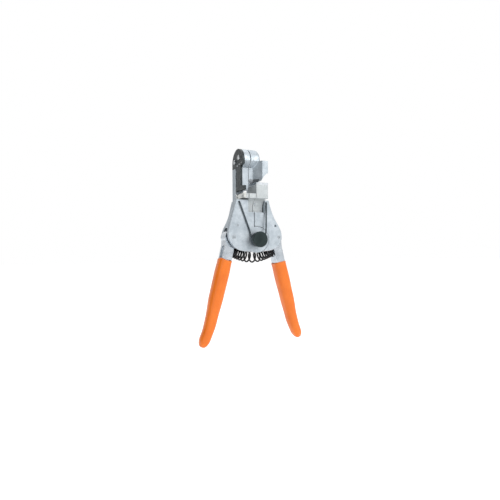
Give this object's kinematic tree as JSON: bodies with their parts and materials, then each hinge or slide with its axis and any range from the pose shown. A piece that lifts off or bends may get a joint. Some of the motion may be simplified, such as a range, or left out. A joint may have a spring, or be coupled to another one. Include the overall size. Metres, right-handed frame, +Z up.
{
  "type": "automatic wire stripper",
  "caption": "Automatic wire stripper: two sprung half-frames on a hub, notched blades and grip jaws over dipped orange handles.",
  "frame": {"origin": "under the hub, midway between the grips' tips, at the level of the tips", "axes": "+Z up from the tips to the jaws, +X from the cutting side to the gripping side along the wire, -Y towards the face with the hub cap"},
  "size_m": [0.1024, 0.038, 0.1747],
  "materials": {
    "frame_metal": "satin cast metal",
    "shank_metal": "polished cast metal",
    "jaw_metal": "ground metal",
    "blade_black": "black oxide",
    "blade_bright": "ground steel",
    "pad_steel": "hardened steel, serrated",
    "screw_steel": "zinc plated",
    "pin_steel": "ground flush",
    "cap_dark": "dark oxide, satin",
    "spring_dark": "dark spring wire",
    "spring_black": "black spring wire",
    "grip_orange": "glossy dipped vinyl"
  },
  "bodies": {
    "left_frame": {"left_frame": "frame_metal", "upper_blade": "blade_black", "blade_screws": "screw_steel", "blade_studs": "screw_steel", "cheek_rivets": "pin_steel", "pivot_bolt": "cap_dark", "hub_spacer": "pin_steel", "hub_cap": "cap_dark", "pivot_washer": "screw_steel", "pivot_nut": "screw_steel", "left_handle_pin": "pin_steel", "torsion_spring": "spring_dark", "compression_spring": "spring_black"},
    "right_frame": {"right_frame": "frame_metal", "upper_grip_pad": "pad_steel", "right_handle_pin": "pin_steel"},
    "left_handle": {"left_shank": "shank_metal", "left_grip": "grip_orange", "left_spring_peg": "pin_steel"},
    "right_handle": {"right_shank": "shank_metal", "right_grip": "grip_orange", "right_spring_peg": "pin_steel"},
    "left_lower_jaw": {"left_lower_jaw": "jaw_metal", "lower_blade": "blade_bright", "lower_blade_screws": "screw_steel"},
    "right_lower_jaw": {"right_lower_jaw": "jaw_metal", "lower_grip_pad": "jaw_metal", "neck_rivet": "pin_steel"}
  },
  "joints": [
    {"name": "frame_spread", "type": "hinge", "parent": "left_frame", "child": "right_frame", "pos_m": [0, 0, 0.09374], "axis": [0, 1, 0], "range_deg": [0, 16], "stiffness_Nm_per_rad": 1.5, "springref_deg": -17.19, "deforming": ["torsion_spring", "compression_spring"]},
    {"name": "left_squeeze", "type": "hinge", "parent": "left_frame", "child": "left_handle", "pos_m": [-0.022, 0, 0.09574], "axis": [0, -1, 0], "range_deg": [0, 7.5], "stiffness_Nm_per_rad": 0.8, "springref_deg": -20.05, "deforming": ["compression_spring"]},
    {"name": "right_squeeze", "type": "hinge", "parent": "right_frame", "child": "right_handle", "pos_m": [0.022, 0, 0.09574], "axis": [0, 1, 0], "range_deg": [0, 7.5], "stiffness_Nm_per_rad": 0.8, "springref_deg": -20.05, "deforming": ["compression_spring"]},
    {"name": "left_jaw_lift", "type": "slide", "parent": "left_frame", "child": "left_lower_jaw", "axis": [0, 0, 1], "range_m": [0, 0.0023]},
    {"name": "right_jaw_lift", "type": "slide", "parent": "right_frame", "child": "right_lower_jaw", "axis": [0, 0, 1], "range_m": [0, 0.0014]}
  ],
  "couplings": [
    {"joint": "left_jaw_lift", "follows": "left_squeeze", "m_per_rad": 0.0175},
    {"joint": "right_jaw_lift", "follows": "right_squeeze", "m_per_rad": 0.0106}
  ]
}
